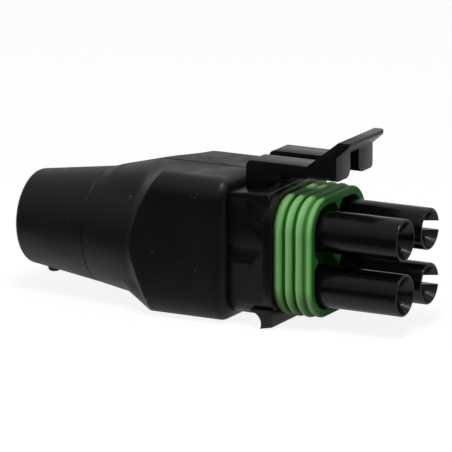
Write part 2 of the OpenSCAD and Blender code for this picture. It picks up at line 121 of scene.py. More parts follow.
class ConnectorBootSizes(bpy.types.PropertyGroup):
    """Sizes of the boot and its cap"""

    edge_r: length("Edge radius", "Radius of the boot's long edges", 2.8 * MM)
    mouth_r: length("Mouth radius", "Radius of the edges at the boot's mouth", 1.6 * MM)
    soft_edge: length("Soft edge", "How far the shoulder melts into the flat sides", 0.08 * MM)
    seam_r: length("Seam radius", "Radius of the neck at the ring seam", 8.15 * MM)
    shoulder_r: length("Shoulder radius", "Radius of the neck where the shoulder starts", 9.55 * MM)
    shoulder_setback: length(
        "Shoulder setback", "Distance of the shoulder's start behind the mouth", 14.45 * MM)
    shoulder_rise: bpy.props.FloatProperty(
        name="Shoulder rise", description="Growth in radius along the shoulder", default=1.07,
        subtype="FACTOR", min=0.2, max=3)
    hollow_r: length("Hollow radius", "Radius of the hollow between neck and shoulder", 3 * MM)
    end_r: length("End radius", "Radius of the flat end", 6.55 * MM)
    seam_chamfer: length("Seam chamfer", "Size of the chamfers at the ring seam", 0.1 * MM)
    groove_w: length("Parting groove", "Width of the groove along the top", 0.32 * MM)
    segments: number("Segments", "Faces round the boot", 320, 48)


class ConnectorSealSizes(bpy.types.PropertyGroup):
    """Sizes of the ring seal"""

    corner_r: length("Corner radius", "Corner radius over the ribs", 4.7 * MM)
    rib_r: length("Rib radius", "Radius of a rib's crest", 0.57 * MM)
    rib_step: length("Rib step", "Distance between ribs", 1.557 * MM)
    rib_count: number("Ribs", "Ribs behind the front band", 3, 1)
    rib_h: length("Rib height", "Height of a rib over its valley", 0.72 * MM)
    pocket: length("Pocket", "Depth of the pocket round the towers", 2.1 * MM)
    rim_t: length("Rim", "Wall of the rim in front of the web", 1.15 * MM)
    segments: number("Segments", "Faces round the seal", 240, 48)


class ConnectorFinish(bpy.types.PropertyGroup):
    """Colours of the mouldings, the seal, the painted shade between the seal's ribs and the dust"""

    nylon: tone("Nylon", "Colour of the housing and latch", (0.002, 0.0021, 0.0026))
    boot: tone("Boot", "Colour of the boot compound", (0.003, 0.0031, 0.0032))
    silicone: tone("Silicone", "Colour of the seal's crests", (0.19, 0.38, 0.15))
    # Painted shade: the darker, saturated green laid deep between the seal's ribs in place of the shade
    # that falls there
    silicone_valley_shade: tone("Silicone valleys", "Colour deep between the ribs", (0.012, 0.16, 0.012))
    dust: tone("Dust", "Colour of dust and lint", (0.45, 0.46, 0.46))


class ConnectorStudio(bpy.types.PropertyGroup):
    """Place and lens of the camera"""

    azimuth: bpy.props.FloatProperty(
        name="Azimuth", description="Angle of the camera round the connector", subtype="ANGLE",
        default=math.radians(27.965))
    elevation: bpy.props.FloatProperty(
        name="Elevation", description="Angle of the camera above the horizon", subtype="ANGLE",
        default=math.radians(13.496))
    distance: length("Distance", "From the tower tips to the camera", 0.67903)
    aim_right: length("Aim right", "Sideways shift of the camera", -25.734 * MM)
    aim_up: length("Aim up", "Upward shift of the camera", 4.881 * MM)
    lens: bpy.props.FloatProperty(
        name="Lens", description="Focal length for a 36 mm sensor", default=402.93, unit="CAMERA")


# ---- node trees


class Graph:
    """A node tree with short calls for adding nodes and joining them."""

    def __init__(self, tree):
        self.tree = tree

    def feed(self, socket, value):
        """Links another node's output to a socket, or sets the socket's own value."""
        if isinstance(value, bpy.types.NodeSocket):
            self.tree.links.new(value, socket)
        else:
            socket.default_value = value

    def add(self, kind, inputs=None, **settings):
        node = self.tree.nodes.new(kind)
        for name, value in settings.items():
            setattr(node, name, value)
        for key, value in (inputs or {}).items():
            self.feed(node.inputs[key], value)
        return node

    def result(self, kind, inputs=None, **settings):
        """Adds a node and returns its first output."""
        return self.add(kind, inputs, **settings).outputs[0]

    def math(self, operation, *values, clamp=False):
        """One sum of plain numbers, such as the short ones below."""
        return self.result(
            "ShaderNodeMath", dict(enumerate(values)), operation=operation, use_clamp=clamp)

    plus = partialmethod(math, "ADD")
    minus = partialmethod(math, "SUBTRACT")
    times = partialmethod(math, "MULTIPLY")
    over = partialmethod(math, "DIVIDE")
    larger = partialmethod(math, "MAXIMUM")
    smaller = partialmethod(math, "MINIMUM")
    beyond = partialmethod(math, "GREATER_THAN")

    def square(self, value):
        return self.math("POWER", value, 2)

    def held(self, value, limit):
        """value kept between -limit and limit."""
        low = self.times(limit, -1) if isinstance(limit, bpy.types.NodeSocket) else -limit
        return self.smaller(self.larger(value, low), limit)

    def here(self):
        """The shaded point, in the object's own coordinates."""
        return self.add("ShaderNodeTexCoord").outputs["Object"]

    def point(self, x, y, z):
        return self.result("ShaderNodeCombineXYZ", {0: x, 1: y, 2: z})

    def parts(self, vector):
        return self.add("ShaderNodeSeparateXYZ", {0: vector}).outputs

    def vector(self, operation, *values):
        node = self.add("ShaderNodeVectorMath", dict(enumerate(values)), operation=operation)
        return node.outputs["Value" if operation == "LENGTH" else "Vector"]

    def steps(self, value, low, high):
        """0 below low, 1 above high and smooth between them."""
        return self.result(
            "ShaderNodeMapRange", {"Value": value, "From Min": low, "From Max": high},
            interpolation_type="SMOOTHSTEP")

    def pick(self, share, first, second):
        """first where share is 0 and second where it is 1."""
        return self.result("ShaderNodeMix", {0: share, 2: first, 3: second}, data_type="FLOAT")

    def tint(self, share, first, second):
        return self.add("ShaderNodeMix", {0: share, 6: first, 7: second}, data_type="RGBA").outputs[2]


def group(name, kind, inputs, outputs):
    """A node group with named sockets.

    An input is given as its default, or as its socket type and default.
    """
    tree = bpy.data.node_groups.new(name, kind)
    for label, setting in inputs.items():
        socket_type, default = setting if isinstance(setting, tuple) else (FLOAT, setting)
        socket = tree.interface.new_socket(label, in_out="INPUT", socket_type=socket_type)
        if default is not None:
            socket.default_value = default
    for label, socket_type in outputs.items():
        tree.interface.new_socket(label, in_out="OUTPUT", socket_type=socket_type)
    graph = Graph(tree)
    graph.start = graph.add("NodeGroupInput").outputs
    graph.end = graph.add("NodeGroupOutput").inputs
    return graph


FLOAT = "NodeSocketFloat"
GEOMETRY, INTEGER, MATERIAL = "NodeSocketGeometry", "NodeSocketInt", "NodeSocketMaterial"


def placed(name, data):
    """Links a mesh, a lamp or a camera to the scene as an object."""
    made = bpy.data.objects.new(name, data)
    bpy.context.scene.collection.objects.link(made)
    return made


def solid_of(name, form):
    """Turns a finished bmesh into an object."""
    mesh = bpy.data.meshes.new(name)
    form.to_mesh(mesh)
    form.free()
    return placed(name, mesh)


def shade(mesh, sharp_deg):
    """Shades a mesh smooth between its sharp edges."""
    mesh.shade_smooth()
    mesh.set_sharp_from_angle(angle=math.radians(sharp_deg))


def baked(piece):
    """The plain mesh that a piece's modifiers make."""
    evaluated = piece.evaluated_get(bpy.context.evaluated_depsgraph_get())
    return bpy.data.meshes.new_from_object(evaluated)


def shaped(name, source, tree, values):
    """Runs a geometry tree on the mesh source and returns the result as a plain mesh object."""
    carrier = placed(name + "_source", source)
    modifier = carrier.modifiers.new(tree.name, "NODES")
    modifier.node_group = tree
    for item in tree.interface.items_tree:
        if item.item_type == "SOCKET" and item.in_out == "INPUT" and item.name in values:
            modifier[item.identifier] = values[item.name]
    bpy.context.view_layer.update()
    mesh = baked(carrier)
    bpy.data.objects.remove(carrier)
    mesh.name = name
    return finished(name, mesh)


@contextlib.contextmanager
def editing(mesh):
    """Opens a mesh for changes to its points and faces."""
    form = bmesh.new()
    form.from_mesh(mesh)
    yield form
    form.to_mesh(mesh)
    form.free()


def finished(name, mesh):
    """Links a mesh as a piece with outward faces and smooth shading between its sharp edges."""
    with editing(mesh) as form:
        if form.calc_volume(signed=True) < 0:
            bmesh.ops.reverse_faces(form, faces=form.faces)
    shade(mesh, MOULD_SHARP)
    return placed(name, mesh)


def profile_mesh(name, corners, step):
    """A mesh of one open line round corners."""
    points = rounded_line(corners, step)
    mesh = bpy.data.meshes.new(name)
    mesh.from_pydata(points, [(i, i + 1) for i in range(len(points) - 1)], [])
    return mesh


def rounded_line(corners, step):
    """A run through corners of (x, r), (x, r, fillet) or (x, r, fillet, tag), rounded at each fillet.

    Points stand a step apart, and further apart inside, where the tag is 1.
    """
    spots, points = [], []
    inner_step = 5 * step
    last = len(corners) - 1
    for i, corner in enumerate(corners):
        x, r, fillet, tag = (*corner, 0, 0)[:4]
        here = Vector((x, r))
        if i in (0, last) or fillet <= 0:
            spots.append((here, tag))
            continue
        back = (Vector(corners[i - 1][:2]) - here).normalized()
        ahead = (Vector(corners[i + 1][:2]) - here).normalized()
        half = math.acos(max(-1, min(1, back.dot(ahead)))) / 2
        centre = here + (back + ahead).normalized() * fillet / math.sin(half)
        first = here + back * fillet / math.tan(half)
        turn = math.pi - 2 * half
        count = max(2, math.ceil(turn * fillet / step))
        arm = first - centre
        side = 1 if back.x * ahead.y - back.y * ahead.x < 0 else -1
        for k in range(count + 1):
            spots.append((centre + Matrix.Rotation(side * turn * k / count, 2) @ arm, tag))
    for (a, tag), (b, _) in zip(spots, spots[1:]):
        count = max(1, math.ceil((b - a).length / (step if tag == 0 else inner_step)))
        points += [(*a.lerp(b, k / count), tag) for k in range(count)]
    return points + [(*spots[-1][0], spots[-1][1])]


def section_group():
    """Distance from the X axis to the side of a rounded block, in the direction of an angle."""
    g = group("Rounded section", "GeometryNodeTree", {
        "Cosine": 1, "Sine": 0, "Half width": 0.01, "Top": 0.01,
        "Bottom": 0.01, "Corner": 0.001, "Inset": 0}, {"Radius": FLOAT})
    cosine = g.larger(g.math("ABSOLUTE", g.start["Cosine"]), 1e-6)
    sine = g.larger(g.math("ABSOLUTE", g.start["Sine"]), 1e-6)
    upper = g.beyond(g.start["Sine"], 0)
    height = g.minus(g.pick(upper, g.start["Bottom"], g.start["Top"]), g.start["Inset"])
    width = g.minus(g.start["Half width"], g.start["Inset"])
    corner = g.larger(g.minus(g.start["Corner"], g.start["Inset"]), 1e-5)
    flat = g.smaller(g.over(width, cosine), g.over(height, sine))
    centre_y = g.minus(width, corner)
    centre_z = g.minus(height, corner)
    reach = g.plus(g.times(cosine, centre_y), g.times(sine, centre_z))
    centre_far = g.plus(g.square(centre_y), g.square(centre_z))
    left = g.minus(g.square(reach), g.minus(centre_far, g.square(corner)))
    rounded = g.plus(reach, g.math("SQRT", g.larger(left, 0)))
    in_corner = g.times(
        g.beyond(g.times(cosine, flat), centre_y),
        g.beyond(g.times(sine, flat), centre_z))
    g.feed(g.end["Radius"], g.pick(in_corner, flat, rounded))
    return g.tree


def sampled(g, geometry, index):
    """The X, Y and Z of the geometry's point with that index."""
    position = g.result("GeometryNodeInputPosition")
    return g.parts(g.result(
        "GeometryNodeSampleIndex", {"Geometry": geometry, "Value": position, "Index": index},
        data_type="FLOAT_VECTOR", domain="POINT"))


def profile_grid(g):
    """A grid with a row for each profile point and a column for each segment.

    Gives the grid, each point's column and the X, Y and Z of its profile point.
    """
    profile, columns = g.start["Profile"], g.plus(g.start["Segments"], 1)
    rows = g.result("GeometryNodeAttributeDomainSize", {"Geometry": profile})
    mesh = g.result("GeometryNodeMeshGrid", {"Vertices X": rows, "Vertices Y": columns})
    index = g.result("GeometryNodeInputIndex")
    row = g.math("FLOOR", g.over(g.plus(index, 0.5), columns))
    column = g.math("ROUND", g.minus(index, g.times(row, columns)))
    return mesh, column, sampled(g, profile, row)


def closing(g, mesh, position):
    """Sets the points' places, closes the mesh along its edges and gives it the material."""
    moved = g.result("GeometryNodeSetPosition", {"Geometry": mesh, "Position": position})
    merged = g.result("GeometryNodeMergeByDistance", {"Geometry": moved, "Distance": WELD})
    smooth = g.result("GeometryNodeSetShadeSmooth", {"Geometry": merged})
    return ending(g, smooth)


def ending(g, geometry):
    """Makes instances real, gives the whole its material and ends the tree with it."""
    whole = g.result("GeometryNodeRealizeInstances", {"Geometry": geometry})
    done = g.result("GeometryNodeSetMaterial", {"Geometry": whole, "Material": g.start["Material"]})
    g.feed(g.end["Geometry"], done)
    return g.tree


def shoulder_swell(g, past_seam, sine, turned_r):
    """The shoulder starts early and rises gently above and below, and late and steeply at the sides."""
    low_r, low_rise = 6 * MM, 0.58
    top_r, top_rise, top_curve = 8.2 * MM, 0.25, 25.0
    curve_start, neck_r, blend_in = 6.2 * MM, 9.2 * MM, 2 * MM
    low_from, low_full, top_from, top_full = 0.55, 0.8, 0.62, 0.95  # sines of the angle round X
    downward = g.steps(g.times(sine, -1), low_from, low_full)
    low_cone = g.math("MULTIPLY_ADD", past_seam, low_rise, low_r)
    extra = g.larger(g.minus(low_cone, turned_r), 0)
    swelled = g.plus(turned_r, g.times(downward, extra))
    upward = g.steps(sine, top_from, top_full)
    late = g.larger(g.minus(past_seam, curve_start), 0)
    straight = g.math("MULTIPLY_ADD", past_seam, top_rise, top_r)
    ramp = g.math("MULTIPLY_ADD", g.square(late), top_curve, straight)
    above = g.larger(ramp, g.smaller(turned_r, neck_r))
    ahead = g.steps(past_seam, 0, blend_in)
    return g.pick(g.times(upward, ahead), swelled, above), upward


def shell_tree():
    """Turns a profile about the X axis and squares it off to a rounded block with a top groove."""
    g = group("Turned and squared shell", "GeometryNodeTree", {
        "Profile": (GEOMETRY, None), "Segments": (INTEGER, 320), "Half width": 0.0096,
        "Top": 0.0104, "Bottom": 0.0094, "Edge radius": 0.0028,
        "Front": 0, "Mouth radius": 0.0016, "Soft edge": 0.0003,
        "Core half": 0.0072, "Core height": 0.0081, "Groove width": 0.0002,
        "Groove depth": 0.0001, "Groove start": 0, "Seam": 0,
        "Material": (MATERIAL, None)}, {"Geometry": GEOMETRY})
    mesh, column, (station, turned_r, inner) = profile_grid(g)
    crowd = 0.65  # how far the points close up at the top, where the groove is, and underneath
    even = g.times(g.over(column, g.start["Segments"]), 2 * math.pi)
    angle = g.plus(even, g.times(g.math("SINE", g.times(even, 2)), crowd / 2))
    cosine, sine = g.math("COSINE", angle), g.math("SINE", angle)
    section = section_group()

    def block_side(width, top, bottom, corner, inset):
        values = cosine, sine, width, top, bottom, corner, inset
        return g.result("GeometryNodeGroup", dict(enumerate(values)), node_tree=section)

    mouth = g.start["Mouth radius"]
    past = g.larger(g.plus(g.minus(station, g.start["Front"]), mouth), 0)
    bow = g.math("SQRT", g.larger(g.minus(g.square(mouth), g.square(past)), 0))
    block = block_side(
        g.start["Half width"], g.start["Top"], g.start["Bottom"], g.start["Edge radius"],
        g.minus(mouth, bow))
    core_corner = 0.5 * MM
    core = block_side(
        g.start["Core half"], g.start["Core height"], g.start["Core height"], core_corner, 0.0)
    swelled, upward = shoulder_swell(g, g.minus(station, g.start["Seam"]), sine, turned_r)
    top_softness = 10
    soft = g.pick(upward, g.start["Soft edge"], g.times(g.start["Soft edge"], top_softness))
    outer = g.smaller(g.math("SMOOTH_MIN", swelled, block, soft), swelled)

    side = g.times(outer, cosine)
    floor_share, edge_share = 0.2, 0.6
    near = g.minus(1, g.steps(
        g.math("ABSOLUTE", side), g.times(g.start["Groove width"], floor_share),
        g.times(g.start["Groove width"], edge_share)))
    on_top, run_in = g.beyond(sine, 0), 1 * MM
    along = g.steps(station, g.start["Groove start"], g.plus(g.start["Groove start"], run_in))
    depth = g.times(along, g.start["Groove depth"])
    cut = g.times(g.times(near, on_top), depth)
    outer = g.minus(outer, cut)
    radius = g.pick(inner, outer, g.smaller(turned_r, core))
    return closing(g, mesh, g.point(station, g.times(radius, cosine), g.times(radius, sine)))


def sweep_tree():
    """Sweeps a profile of stations and offsets round a square, with round corners."""
    g = group("Swept ring", "GeometryNodeTree", {
        "Profile": (GEOMETRY, None), "Segments": (INTEGER, 240), "Core half": 0.00375,
        "Lift": 0, "Material": (MATERIAL, None)}, {"Geometry": GEOMETRY})
    half = g.start["Core half"]
    path_r = 2 * MM
    size = g.times(g.plus(half, path_r), 2)
    square = g.result("GeometryNodeCurvePrimitiveQuadrilateral", {"Width": size, "Height": size})
    rounded = g.result(
        "GeometryNodeFilletCurve", {"Curve": square, "Count": 24, "Radius": path_r}, mode="POLY")
    path = g.result("GeometryNodeResampleCurve", {"Curve": rounded, "Count": g.start["Segments"]})
    mesh, column, (station, offset, _) = profile_grid(g)
    points = g.result("GeometryNodeCurveToMesh", {"Curve": path})
    across, up, _ = sampled(g, points, g.math("MODULO", column, g.start["Segments"]))
    core_y, core_z = g.held(across, half), g.held(up, half)
    core, spot = g.point(0.0, core_y, core_z), g.point(0.0, across, up)
    outward = g.vector("NORMALIZE", g.vector("SUBTRACT", spot, core))
    scaled = g.result("ShaderNodeVectorMath", {0: outward, "Scale": offset}, operation="SCALE")
    base = g.point(station, core_y, g.plus(core_z, g.start["Lift"]))
    return closing(g, mesh, g.vector("ADD", base, scaled))


def specks_tree():
    """Scatters small flat flakes over a surface."""
    g = group("Scattered flakes", "GeometryNodeTree", {
        "Surface": (GEOMETRY, None), "Density": 50000, "Seed": (INTEGER, 1),
        "Flake": 0.0001, "Material": (MATERIAL, None)}, {"Geometry": GEOMETRY})
    scatter = g.add("GeometryNodeDistributePointsOnFaces", {
        "Mesh": g.start["Surface"], "Density": g.start["Density"], "Seed": g.start["Seed"]})
    flake = g.result("GeometryNodeMeshIcoSphere", {"Radius": g.start["Flake"], "Subdivisions": 1})
    slight, broad = (0.4, 0.25, 0.12), (1.6, 0.8, 0.3)
    stretch = g.result("FunctionNodeRandomValue", {
        0: slight, 1: broad, "Seed": 5}, data_type="FLOAT_VECTOR")
    spin = g.add(
        "FunctionNodeRandomValue", {2: 0.0, 3: 2 * math.pi, "Seed": 7}, data_type="FLOAT").outputs[1]
    turn = g.add("FunctionNodeRotateRotation", {0: scatter.outputs["Rotation"]}, rotation_space="LOCAL")
    g.feed(turn.inputs[1], g.result(
        "FunctionNodeAxisAngleToRotation", {"Axis": (0, 0, 1), "Angle": spin}))
    laid = g.result("GeometryNodeInstanceOnPoints", {
        "Points": scatter.outputs["Points"], "Instance": flake, "Rotation": turn.outputs[0],
        "Scale": stretch})
    return ending(g, laid)


# ---- finishes


def grain_group():
    """Fine moulded grain with soft smudges: a height and a mask, both from object coordinates."""
    g = group("Moulded grain", "ShaderNodeTree", {
        "Grain size": 0.0002, "Smudge size": 0.006},
        {"Height": FLOAT, "Smudge": FLOAT})
    where = g.here()
    fine = g.result("ShaderNodeTexNoise", {
        "Vector": where, "Scale": g.over(1, g.start["Grain size"]), "Detail": 3.0,
        "Roughness": 0.6})
    broad = g.result("ShaderNodeTexNoise", {
        "Vector": where, "Scale": g.over(1, g.start["Smudge size"]), "Detail": 4.0,
        "Roughness": 0.55, "Distortion": 0.6})
    g.feed(g.end["Height"], fine)
    smudge_start, smudge_full = 0.42, 0.68
    g.feed(g.end["Smudge"], g.steps(broad, smudge_start, smudge_full))
    return g.tree


def dust_group():
    """Fine dust: tiny dots, of which Amount says how many are kept."""
    g = group("Fine dust", "ShaderNodeTree", {
        "Dot size": 0.0006, "Amount": 0.5}, {"Mask": FLOAT})
    dots = g.add("ShaderNodeTexVoronoi", {
        "Vector": g.here(), "Scale": g.over(1, g.start["Dot size"])})
    dot_r, dot_edge, most = 0.03, 0.11, 0.3
    close = g.minus(1, g.steps(dots.outputs["Distance"], dot_r, dot_edge))
    chosen = g.result("ShaderNodeSeparateColor", {0: dots.outputs["Color"]})
    kept = g.steps(chosen, g.minus(1, g.times(g.start["Amount"], most)), 1.0)
    g.feed(g.end["Mask"], g.times(close, kept, clamp=True))
    return g.tree


def empty_graph(owner):
    """The node tree of a material or a world, with nothing in it."""
    owner.use_nodes = True
    owner.node_tree.nodes.clear()
    return Graph(owner.node_tree)


def material(name):
    """A new material and its graph, with one shader."""
    made = bpy.data.materials.new(name)
    g = empty_graph(made)
    g.shader = g.add("ShaderNodeBsdfPrincipled")
    g.add("ShaderNodeOutputMaterial", {"Surface": g.shader.outputs[0]})
    return made, g


def coat(g, values):
    """Feeds the shader's own sockets."""
    for name, value in values.items():
        g.feed(g.shader.inputs[name], value)


def grained(g, groups, rough, smudge_rough, bump, grain=0.2 * MM):
    """Gives the shader grain in its height and smudges in its roughness. Returns the smudges."""
    texture = g.add("ShaderNodeGroup", {"Grain size": grain}, node_tree=groups["grain"]).outputs
    coat(g, {
        "Roughness": g.result("ShaderNodeMapRange", {
            "Value": texture["Smudge"], "To Min": rough, "To Max": rough + smudge_rough}),
        "Normal": g.result("ShaderNodeBump", {"Distance": bump, "Height": texture["Height"]})})
    return texture["Smudge"]


def moulded(name, groups, colour, dust_colour, rough, smudge_rough, grain, bump, dust):
    """A dark moulding: grain in its height, smudges in its roughness and a little dust."""
    made, g = material(name)
    grained(g, groups, rough, smudge_rough, bump, grain)
    specks = g.result("ShaderNodeGroup", {"Amount": dust}, node_tree=groups["dust"])
    coat(g, {"Base Color": g.tint(specks, (*colour, 1), (*dust_colour, 1))})
    return made


def silicone(name, groups, crest, deep, core_half, crest_offset, rib_h):
    """Green silicone: pale on the crests, with painted shade between the ribs, a darker, saturated green
    that stands in for the shade there.
    """
    made, g = material(name)
    smudge = grained(g, groups, rough=0.5, smudge_rough=0.18, bump=0.006 * MM, grain=0.25 * MM)
    where = g.vector("SUBTRACT", g.here(), (0, 0, SEAL_LIFT))
    x, y, z = g.parts(where)
    core = g.point(x, g.held(y, core_half), g.held(z, core_half))
    offset = g.vector("LENGTH", g.vector("SUBTRACT", where, core))
    # Painted shade: between the ribs the colour turns to the darker valley green, fully at 0.7 of a
    # rib's height below the crest and not at all above 0.14 of it; height is this painted-shade mask
    full_shade_depth, shade_free_depth = 0.7, 0.14
    height = g.steps(offset, crest_offset - full_shade_depth * rib_h, crest_offset - shade_free_depth * rib_h)
    darker = [c * 0.72 for c in crest]
    mottled = g.tint(g.times(smudge, 0.35), (*crest, 1), (*darker, 1))
    # Base colour: the painted valley shade deep between the ribs, the mottled crest colour on the crests
    coat(g, {
        "Base Color": g.tint(height, (*deep, 1), mottled), "Specular IOR Level": 0.3,
        "Subsurface Weight": 0.25, "Subsurface Radius": (0.3, 1.0, 0.25), "Subsurface Scale": 0.6 * MM})
    return made


def simple_finish(groups, name, colour, rough, metal):
    """The finish of a piece that is mostly out of sight: grain in its roughness and height."""
    made, g = material(name)
    smudge = grained(g, groups, rough, smudge_rough=0.12, bump=0.003 * MM)
    darker = [c * 0.8 for c in colour]
    coat(g, {"Base Color": g.tint(smudge, (*colour, 1), (*darker, 1)), "Metallic": metal})
    return made


def dust_material(colour):
    """Pale flakes of lint, each a little lighter or darker."""
    made, g = material("dust flakes")
    noise = g.result("ShaderNodeTexNoise", {"Vector": g.here(), "Scale": 2500.0})
    pale = [min(1, c * 1.5) for c in colour]
    coat(g, {"Base Color": g.tint(noise, (*colour, 1), (*pale, 1)), "Roughness": 0.8})
    return made


FINISHES = {}

# For inner nodes, by the start of their names: material, colour, roughness and share of metal
INNER_FINISHES = {
    "wire_seal": ("wire seal silicone", (0.2, 0.4, 0.17), 0.5, 0.0),
    "socket_contact": ("contact brass", (0.62, 0.45, 0.16), 0.25, 1.0),
    "link_conductor": ("bare copper", (0.7, 0.33, 0.18), 0.3, 1.0),
    "secondary_lock": ("lock nylon", (0.02, 0.02, 0.021), 0.35, 0.0),
    "link_insulation": ("wire insulation", (0.03, 0.03, 0.032), 0.45, 0.0),
    "potting_block": ("potting", (0.07, 0.07, 0.06), 0.5, 0.0),
}


def make_finishes(finish):
    """Makes every material of the connector."""
    groups = {"grain": grain_group(), "dust": dust_group()}
    nylon, boot = tuple(finish.nylon), tuple(finish.boot)
    dust_colour = tuple(finish.dust)
    seal = bpy.context.scene.connector_seal
    FINISHES.update({
        "nylon": moulded(
            "black nylon", groups, nylon, dust_colour, rough=0.3, smudge_rough=0.12, grain=0.12 * MM,
            bump=0.0015 * MM, dust=0.1),
        "tower": moulded(
            "tower nylon", groups, nylon, dust_colour, rough=0.2, smudge_rough=0.12, grain=0.1 * MM,
            bump=0.0008 * MM, dust=0.1),
        "boot": moulded(
            "boot compound", groups, boot, dust_colour, rough=0.4, smudge_rough=0.14, grain=0.2 * MM,
            bump=0.003 * MM, dust=0.25),
        "silicone": silicone(
            "ring seal silicone", groups, tuple(finish.silicone), tuple(finish.silicone_valley_shade),
            SEAL_HIGH.y - seal.corner_r, seal.corner_r, seal.rib_h),
        "dust": dust_material(dust_colour),
    })
    for start, values in INNER_FINISHES.items():
        FINISHES[start] = simple_finish(groups, *values)


def wear(piece, finish_name):
    """Gives a piece its material."""
    piece.data.materials.clear()
    piece.data.materials.append(FINISHES[finish_name])


# ---- mesh helpers


def prism(name, outline, y0, y1):
    """A closed solid from an outline of (x, z) points, run across from y0 to y1."""
    form = bmesh.new()
    low = [form.verts.new((x, y0, z)) for x, z in outline]
    high = [form.verts.new((x, y1, z)) for x, z in outline]
    form.faces.new(low)
    form.faces.new(list(reversed(high)))
    for i in range(len(outline)):
        j = (i + 1) % len(outline)
        form.faces.new((low[j], low[i], high[i], high[j]))
    bmesh.ops.recalc_face_normals(form, faces=form.faces)
    return solid_of(name, form)


def rod(name, radius, x0, x1, y, z, sides=64):
    """A round bar along X."""
    form = bmesh.new()
    bmesh.ops.create_cone(
        form, cap_ends=True, segments=sides, radius1=radius, radius2=radius, depth=x1 - x0,
        matrix=Matrix.Translation(((x0 + x1) / 2, y, z)) @ Matrix.Rotation(math.pi / 2, 4, "Y"))
    return solid_of(name, form)


def turned_ring(name, outline, y, z, sides=96):
    """A closed outline of (x, r) points turned about a line along X through (y, z)."""
    form = bmesh.new()
    rings = []
    for k in range(sides):
        angle = 2 * math.pi * k / sides
        rings.append([
            form.verts.new((x, y + r * math.cos(angle), z + r * math.sin(angle))) for x, r in outline])
    for k in range(sides):
        here, there = rings[k], rings[(k + 1) % sides]
        for i in range(len(outline)):
            j = (i + 1) % len(outline)
            form.faces.new((here[i], here[j], there[j], there[i]))
    bmesh.ops.recalc_face_normals(form, faces=form.faces)
    return solid_of(name, form)


def join_flats(mesh, merge):
    """Merges points closer than merge and makes each flat area one face."""
    flat_angle = math.radians(0.4)
    with editing(mesh) as form:
        bmesh.ops.remove_doubles(form, verts=form.verts, dist=merge)
        bmesh.ops.dissolve_limit(
            form, angle_limit=flat_angle, verts=form.verts, edges=form.edges, delimit={"NORMAL"})


def solid_copy(node):
    """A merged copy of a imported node's mesh."""
    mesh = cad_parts[node].data.copy()
    join_flats(mesh, FINE_WELD)
    mesh.materials.clear()
    return placed(node + "_copy", mesh)


def combine(piece, tool, operation="DIFFERENCE"):
    """Cuts the solid tool from a piece, or does another boolean operation with it."""
    modifier = piece.modifiers.new("Combine", "BOOLEAN")
    modifier.operation = operation
    modifier.solver = "EXACT"
    modifier.object = tool
    settle(piece)
    bpy.data.objects.remove(tool)


def settle(piece):
    """Turns a piece and its modifiers into a plain mesh."""
    mesh = baked(piece)
    piece.modifiers.clear()
    old = piece.data
    piece.data = mesh
    bpy.data.meshes.remove(old)


def soften(piece, width, angle_deg=32, segments=2):
    """Rounds a piece's hard edges a little, as a mould does."""
    bevel = piece.modifiers.new("Edges", "BEVEL")
    bevel.width = width
    bevel.segments = segments
    bevel.limit_method = "ANGLE"
    bevel.angle_limit = math.radians(angle_deg)
    bevel.miter_outer = "MITER_ARC"
    settle(piece)


def bend_cuts(piece, x0, x1, step):
    """Cuts a piece across at even stations, adding rows of points there."""
    x = x0
    with editing(piece.data) as form:
        while x <= x1:
            bmesh.ops.bisect_plane(
                form, geom=[*form.verts, *form.edges, *form.faces], dist=1e-7, plane_co=(x, 0, 0),
                plane_no=(1, 0, 0))
            x += step


# ---- pieces


class ConnectorPiece:
    """What all the operators share."""

    bl_options = {"REGISTER", "UNDO"}


class CONNECTOR_OT_finishes(ConnectorPiece, bpy.types.Operator):
    """Make the materials"""

    bl_idname = "connector.finishes"
    bl_label = "Finishes"

    def execute(self, context):
        make_finishes(context.scene.connector_finish)
        return {"FINISHED"}


def shell_values(sizes):
    """What the shell tree is given for the boot and its cap."""
    return {
        "Segments": sizes.segments, "Half width": BOOT_HIGH.y, "Top": BOOT_HIGH.z,
        "Bottom": -BOOT_LOW.z, "Edge radius": sizes.edge_r, "Front": BOOT_HIGH.x,
        "Mouth radius": sizes.mouth_r, "Soft edge": sizes.soft_edge, "Core half": CORE_HALF,
        "Core height": CORE_HIGH, "Groove width": sizes.groove_w, "Groove depth": 0.2 * MM,
        "Groove start": BOOT_HIGH.x - 16.9 * MM, "Seam": BOOT_LOW.x, "Material": FINISHES["boot"]}


